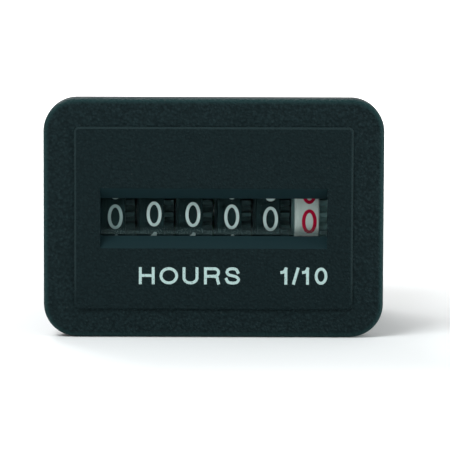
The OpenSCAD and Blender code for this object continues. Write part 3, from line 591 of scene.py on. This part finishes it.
def case_moulding():
    """Black moulding: coarse grain on the flange, fine grain on the face, none in the window.
    Its grain pits are darkened with painted shade and its grain peaks lightened with painted
    highlights.
    Its outer edges and the face's step are lightened with painted highlights, the step less so low
    down."""
    material, tree, shader = new_finish("case_moulding")
    split = add(tree, "ShaderNodeSeparateXYZ", {"Vector": object_place(tree)})
    side = maths(tree, "ABSOLUTE", split.outputs["X"])
    up = maths(tree, "ABSOLUTE", split.outputs["Z"])
    depth = split.outputs["Y"]
    past_face = past_outline(tree, side, up, face_half_w, face_half_h, face_corner)
    past_flange = past_outline(tree, side, up, flange_half_w, flange_half_h, flange_corner)
    raised = maths(tree, "LESS_THAN", depth, step_y)
    on_face = maths(tree, "MULTIPLY", raised, maths(tree, "LESS_THAN", past_face, -face_margin))
    in_window = maths(tree, "GREATER_THAN", depth, sill_start_y)
    for far, limit in ((side, sill_half_w), (up, sill_half_h)):
        in_window = maths(tree, "MULTIPLY", in_window, maths(tree, "LESS_THAN", far, limit))

    coarse = grained_skin(tree, flange_grain_mm)
    fine = grained_skin(tree, face_grain_mm)
    face_grain = maths(tree, "MULTIPLY", fine.outputs["Height"], face_grain_share)
    grain = maths(tree, "MULTIPLY_ADD", maths(tree, "SUBTRACT", 1.0, on_face),
                  coarse.outputs["Height"], maths(tree, "MULTIPLY", on_face, face_grain))
    grain = maths(tree, "MULTIPLY", grain, maths(tree, "SUBTRACT", 1.0, in_window))
    # painted shade in the grain's pits, and painted highlights on its sparse peaks
    painted_relief_light = maths(tree, "POWER", spread(tree, grain, 0, 1, pit_height, peak_height), highlight_narrowing)
    shade = blend_colours(tree, painted_relief_light, pit_painted_shade, peak_painted_highlight)

    # painted highlight along the face's step, faded towards the bottom
    painted_step_highlight = maths(tree, "MULTIPLY", raised,
                 maths(tree, "COMPARE", past_face, step_highlight_line, step_highlight_half_w))
    highlight_fade = spread(tree, split.outputs["Z"], 0.0, 1.0, step_highlight_low_z, step_highlight_high_z)
    shade = blend_colours(tree, maths(tree, "MULTIPLY", painted_step_highlight, highlight_fade), shade, step_highlight_colour)
    shade = blend_colours(tree, in_window, shade, sill_colour)
    # painted highlight on the flange's front rounding
    painted_edge_highlight = maths(tree, "MULTIPLY", maths(tree, "LESS_THAN", depth, rounding_y),
                   spread(tree, past_flange, 0.0, edge_highlight_share, edge_highlight_inner, edge_highlight_outer))
    shade = blend_colours(tree, painted_edge_highlight, shade, edge_highlight_colour)
    speck = maths(tree, "MULTIPLY", coarse.outputs["Speck"], case_speck)
    shade = blend_colours(tree, speck, shade, speck_colour)
    tree.links.new(shade, shader.inputs["Base Color"])

    unpolished = spread(tree, grain, pit_roughness, peak_roughness)
    rough = maths(tree, "MULTIPLY_ADD", in_window, -sill_polish, unpolished)
    tree.links.new(rough, shader.inputs["Roughness"])
    emboss(tree, shader, grain, case_grain_depth)
    shader.inputs["Specular IOR Level"].default_value = case_gloss
    return material


dress(case_moulding(), "front_case")

# LEGEND ON THE FACE
# Plain capitals and a fraction, pad-printed in pale ink on the fine grain of the face.
# The tops of the grain break through the ink as specks.

legend_z = -7.43 * MM
legend_h = 2.23 * MM
legend_stroke = 0.375 * MM
legend_pale = (0.40, 0.545, 0.525)
legend_bare = (0.10, 0.15, 0.15)
legend_grain_mm = 0.22
hours_places_mm = ((-9.64, -7.60), (-6.96, -4.57), (-3.99, -1.94), (-1.22, 0.88), (1.47, 3.45))
tenth_places_mm = ((8.64, 9.55), (10.19, 11.10), (11.45, 12.35), (13.09, 14.73))


def through(points, steps=6):
    """A smooth line through the points."""
    line = []
    for k in range(len(points) - 1):
        before, here, there, after = [Vector(points[min(max(k + d, 0), len(points) - 1)])
                                      for d in (-1, 0, 1, 2)]
        for s in range(steps):
            u = s / steps
            slope = (there - before) * u
            bend = (2 * before - 5 * here + 4 * there - after) * u ** 2
            twist = (3 * here - before - 3 * there + after) * u ** 3
            line.append(tuple(here + 0.5 * (slope + bend + twist)))
    return line + [points[-1]]


def letter_strokes(letter):
    """Centre lines of a plain sans-serif letter; x and y run from -1 to 1 over its size."""
    bowl = (straight(-1, 1, 0.35, 1) + arc(0.35, 0.47, 0.6, 0.53, 90, -90)[1:]
            + straight(0.35, -0.06, -1, -0.06)[1:])
    leg = through([(0.3, -0.06), (0.72, -0.22), (0.82, -0.6), (0.95, -1)])
    cup = (straight(-1, 1, -1, -0.3) + arc(0, -0.3, 1, 0.7, 180, 360)[1:]
           + straight(1, -0.3, 1, 1)[1:])
    double_bend = through([(0.86, 0.50), (0.58, 0.90), (0, 1), (-0.62, 0.90), (-0.88, 0.52),
                           (-0.60, 0.17), (0, 0.02), (0.66, -0.16), (0.98, -0.54), (0.66, -0.92),
                           (0, -1), (-0.66, -0.90), (-0.98, -0.48)])
    flag = through([(-1, 0.52), (-0.1, 0.58), (0.6, 0.8), (1, 1)])
    ring = arc(0, 0, 1, 1, 0, 360, 56)
    shapes = {
        "H": [straight(-1, -1, -1, 1), straight(1, -1, 1, 1), straight(-1, 0.02, 1, 0.02)],
        "O": [ring],
        "U": [cup],
        "R": [straight(-1, -1, -1, 1), bowl, leg],
        "S": [double_bend],
        "1": [straight(1, -1, 1, 1), flag],
        "/": [straight(-1, -1, 1, 1)],
        "0": [ring],
    }
    return shapes[letter]


def printed_ink(name, colour, bare_colour):
    """Ink on a grained face: the tops of the grain break through as dark specks."""
    bare_from = 0.40
    bare_share = 0.55
    ink_relief = 0.01 * MM
    material, tree, shader = new_finish(name)
    skin = grained_skin(tree, legend_grain_mm)
    bare = maths(tree, "GREATER_THAN", skin.outputs["Height"], bare_from)
    shade = blend_colours(tree, maths(tree, "MULTIPLY", bare, bare_share), colour, bare_colour)
    tree.links.new(shade, shader.inputs["Base Color"])
    emboss(tree, shader, skin.outputs["Height"], ink_relief)
    shader.inputs["Roughness"].default_value = 0.6
    shader.inputs["Specular IOR Level"].default_value = 0.3
    return material


def on_face_at(middle):
    """Lays a flat point on the face, at a height over it."""
    return lambda point, height: middle + Vector((point.x, -height, point.y))


def printed_line(letters, places_mm):
    """Letters on the face, each drawn to fill its place between two stations along X."""
    half_h = (legend_h - legend_stroke) / 2
    mesh = bmesh.new()
    for letter, (left, right) in zip(letters, places_mm):
        half_w = ((right - left) * MM - legend_stroke) / 2
        wrap = on_face_at(Vector(((left + right) / 2 * MM, face_y, legend_z)))
        for layer, stroke in enumerate(letter_strokes(letter)):
            flat = [(x * half_w, y * half_h) for x, y in stroke]
            stamp_stroke(mesh, flat, legend_stroke, layer, wrap)
    return mesh


legend_ink = printed_ink("legend_ink", legend_pale, legend_bare)
hours_line = printed_line("HOURS", hours_places_mm)
tenth_line = printed_line("1/10", tenth_places_mm)
printed_piece("legend_hours", hours_line, legend_ink, "root")
printed_piece("legend_tenth", tenth_line, legend_ink, "root")

# WINDOW LENS
# A clear acrylic plate, dropped between two ribs behind the window and held by the counter frame.
# Its face hardly shines. A grey film over its lower part is painted light, a lighter band over the
# lower part of the wheels; it stops just above the lower edge, leaving a dark line there as painted
# shade.

lens_tint = (0.95, 0.99, 0.98, 1)
lens_shine = (0.02, 0.02, 0.02, 1)
lens_bending = 1.1
lens_haze = 0.012
lens_haze_mm = 0.5
# painted light: a grey film over the lens's lower part, which stops short of its lower edge to leave
# a line of painted shade
film_light_colour = (0.078, 0.126, 0.128, 1)
film_light_weight = 0.34
shade_line_edge = -2.28 * MM
film_light_bottom = -2.6 * MM
film_light_top = -1.3 * MM


def clear_acrylic():
    """Clear plastic with faint moulding haze and a grey film of painted light low down; light reaches
    the wheels.
    """
    material, tree, shader = new_finish("clear_acrylic")
    skin = grained_skin(tree, lens_haze_mm)
    haze = spread(tree, skin.outputs["Cloud"], 0.0, lens_haze)
    tree.links.new(haze, shader.inputs["Roughness"])
    shader.inputs["Base Color"].default_value = lens_tint
    shader.inputs["IOR"].default_value = lens_bending
    shader.inputs["Specular Tint"].default_value = lens_shine
    shader.inputs["Transmission Weight"].default_value = 1.0
    up = add(tree, "ShaderNodeSeparateXYZ", {"Vector": object_place(tree)}).outputs["Z"]
    # the film is strongest low down and stops just above the lower edge: painted light over a line of
    # painted shade
    film = maths(tree, "MULTIPLY", spread(tree, up, film_light_weight, 0.0, film_light_bottom, film_light_top),
                 maths(tree, "GREATER_THAN", up, shade_line_edge))
    dust = add(tree, "ShaderNodeBsdfDiffuse", {"Color": film_light_colour})
    dusty = add(tree, "ShaderNodeMixShader",
                {0: film, 1: shader.outputs["BSDF"], 2: dust.outputs["BSDF"]})
    clear = tree.nodes.new("ShaderNodeBsdfTransparent")
    path = tree.nodes.new("ShaderNodeLightPath")
    lit = maths(tree, "MAXIMUM", path.outputs["Is Shadow Ray"], path.outputs["Is Diffuse Ray"])
    both = add(tree, "ShaderNodeMixShader",
               {0: lit, 1: dusty.outputs["Shader"], 2: clear.outputs["BSDF"]})
    tree.links.new(both.outputs["Shader"], tree.nodes["Material Output"].inputs["Surface"])
    return material


dress(clear_acrylic(), "window_lens")

# REAR COVER, TERMINALS AND CLIPS
# The cover is moulded in the same black plastic and snaps into the sleeve.
# Two stamped brass blades pass through it.
# A strip of spring steel on each side, held by two staked pegs, grips the panel from behind.

cover_black = (0.005, 0.0095, 0.010)
blade_yellow = (0.54, 0.43, 0.24)
spring_grey = (0.23, 0.25, 0.26)

cover_moulding = moulded_plastic("cover_moulding", cover_black, 0.46, grain_mm=0.45, depth_mm=0.1,
                                 dust=0.4, gloss=0.2)
blade_brass = worked_metal("blade_brass", blade_yellow, 0.28, stretch=(1, 0.04, 1))
spring_steel = worked_metal("spring_steel", spring_grey, 0.34, stretch=along_y)
dress(cover_moulding, "rear_cover")
dress(blade_brass, "terminal_left", "terminal_right")
dress(spring_steel, "side_clip_left", "side_clip_right")

# FLOOR, LIGHT AND CAMERA
# A pale floor lies just under the flange, in an even pale sky.
# Soft lamps stand overhead at the left, behind, and at the right side.
# The camera looks slightly down at the face, as in the photograph.

floor_gap = 0.05 * MM
floor_z = cad_box[0][2] - floor_gap
floor_half = 1.5
floor_pale = (0.85, 0.85, 0.85, 1)
glow_start = 0.08
glow_full = 0.45
white = (1, 1, 1, 1)
sky_low = 0.25
sky_high = 0.7
sky_low_up = -0.1
sky_high_up = 0.9


def looked_at(tree):
    """1 for a ray from the eye, also by reflection or through glass, and 0 for all other light."""
    path = tree.nodes.new("ShaderNodeLightPath")
    direct = maths(tree, "MAXIMUM", path.outputs["Is Camera Ray"], path.outputs["Is Glossy Ray"])
    return maths(tree, "MAXIMUM", direct, path.outputs["Is Transmission Ray"])


def pale_floor():
    """White to the eye away from the part, with the shadow kept; plain and pale for other light."""
    material, tree, shader = new_finish("pale_floor")
    shader.inputs["Base Color"].default_value = floor_pale
    shader.inputs["Roughness"].default_value = 0.9
    away = add(tree, "ShaderNodeVectorMath", {0: object_place(tree)}, operation="LENGTH")
    glow_level = spread(tree, away.outputs["Value"], 0.0, 1.0, glow_start, glow_full)
    strength = maths(tree, "MULTIPLY", looked_at(tree), glow_level)
    glow = add(tree, "ShaderNodeEmission", {"Color": white, "Strength": strength})
    both = add(tree, "ShaderNodeAddShader",
               {0: shader.outputs["BSDF"], 1: glow.outputs["Emission"]})
    tree.links.new(both.outputs["Shader"], tree.nodes["Material Output"].inputs["Surface"])
    return material


floor_mesh = bpy.data.meshes.new("floor")
floor_corners = [(side * floor_half, along * floor_half, floor_z)
                 for side, along in ((-1, -1), (1, -1), (1, 1), (-1, 1))]
floor_mesh.from_pydata(floor_corners, [], [(0, 1, 2, 3)])
floor_mesh.materials.append(pale_floor())
floor = bpy.data.objects.new("floor", floor_mesh)
bpy.context.scene.collection.objects.link(floor)

world = bpy.data.worlds.new("pale_sky")
world.use_nodes = True
sky = world.node_tree
sky.nodes.clear()
heading = sky.nodes.new("ShaderNodeTexCoord").outputs["Generated"]
upward = add(sky, "ShaderNodeSeparateXYZ", {"Vector": heading}).outputs["Z"]
ambient = spread(sky, upward, sky_low, sky_high, sky_low_up, sky_high_up)
level = maths(sky, "MAXIMUM", looked_at(sky), ambient)
backdrop = add(sky, "ShaderNodeBackground", {"Color": white, "Strength": level})
sky_output = sky.nodes.new("ShaderNodeOutputWorld")
sky.links.new(backdrop.outputs["Background"], sky_output.inputs["Surface"])
bpy.context.scene.world = world


def soft_lamp(name, place, size, watts, colour):
    """A square soft box aimed at the middle of the panel seat."""
    lamp = bpy.data.lights.new(name, "AREA")
    lamp.size = size
    lamp.energy = watts
    lamp.color = colour
    holder = bpy.data.objects.new(name, lamp)
    holder.location = place
    holder.rotation_euler = (-Vector(place)).to_track_quat("-Z", "Y").to_euler()
    bpy.context.scene.collection.objects.link(holder)


soft_lamp("overhead_lamp", (-0.20, -0.22, 0.34), size=0.22, watts=1.35, colour=(0.92, 0.98, 1.0))
soft_lamp("back_lamp", (-0.12, 0.28, 0.28), size=0.16, watts=0.75, colour=(1.0, 1.0, 1.0))
soft_lamp("side_lamp", (0.50, -0.10, 0.12), size=0.26, watts=1.6, colour=(0.90, 1.0, 1.0))

picture_px = 450
mm_per_px = 0.1291
flange_middle_px = (213.62, 218.5)
camera_distance = 0.42
camera_rise = math.radians(6.6)
camera_roll = math.radians(0.18)
camera_target = Vector((0, -3.2 * MM, 0))

camera_data = bpy.data.cameras.new("camera")
camera_data.sensor_width = 36.0
camera_data.lens = camera_data.sensor_width * camera_distance / (picture_px * mm_per_px * MM)
camera_data.shift_x = (picture_px / 2 - flange_middle_px[0]) / picture_px
camera_data.shift_y = (flange_middle_px[1] - picture_px / 2) / picture_px
camera_data.clip_start = 0.01
camera = bpy.data.objects.new("camera", camera_data)
backward = Vector((0, -math.cos(camera_rise), math.sin(camera_rise)))
camera.location = camera_target + camera_distance * backward
tilt = Matrix.Rotation(math.radians(90) - camera_rise, 3, "X")
roll = Matrix.Rotation(camera_roll, 3, "Z")
camera.rotation_euler = (tilt @ roll).to_euler()
bpy.context.scene.collection.objects.link(camera)
bpy.context.scene.camera = camera
bpy.context.scene.view_settings.view_transform = "Standard"
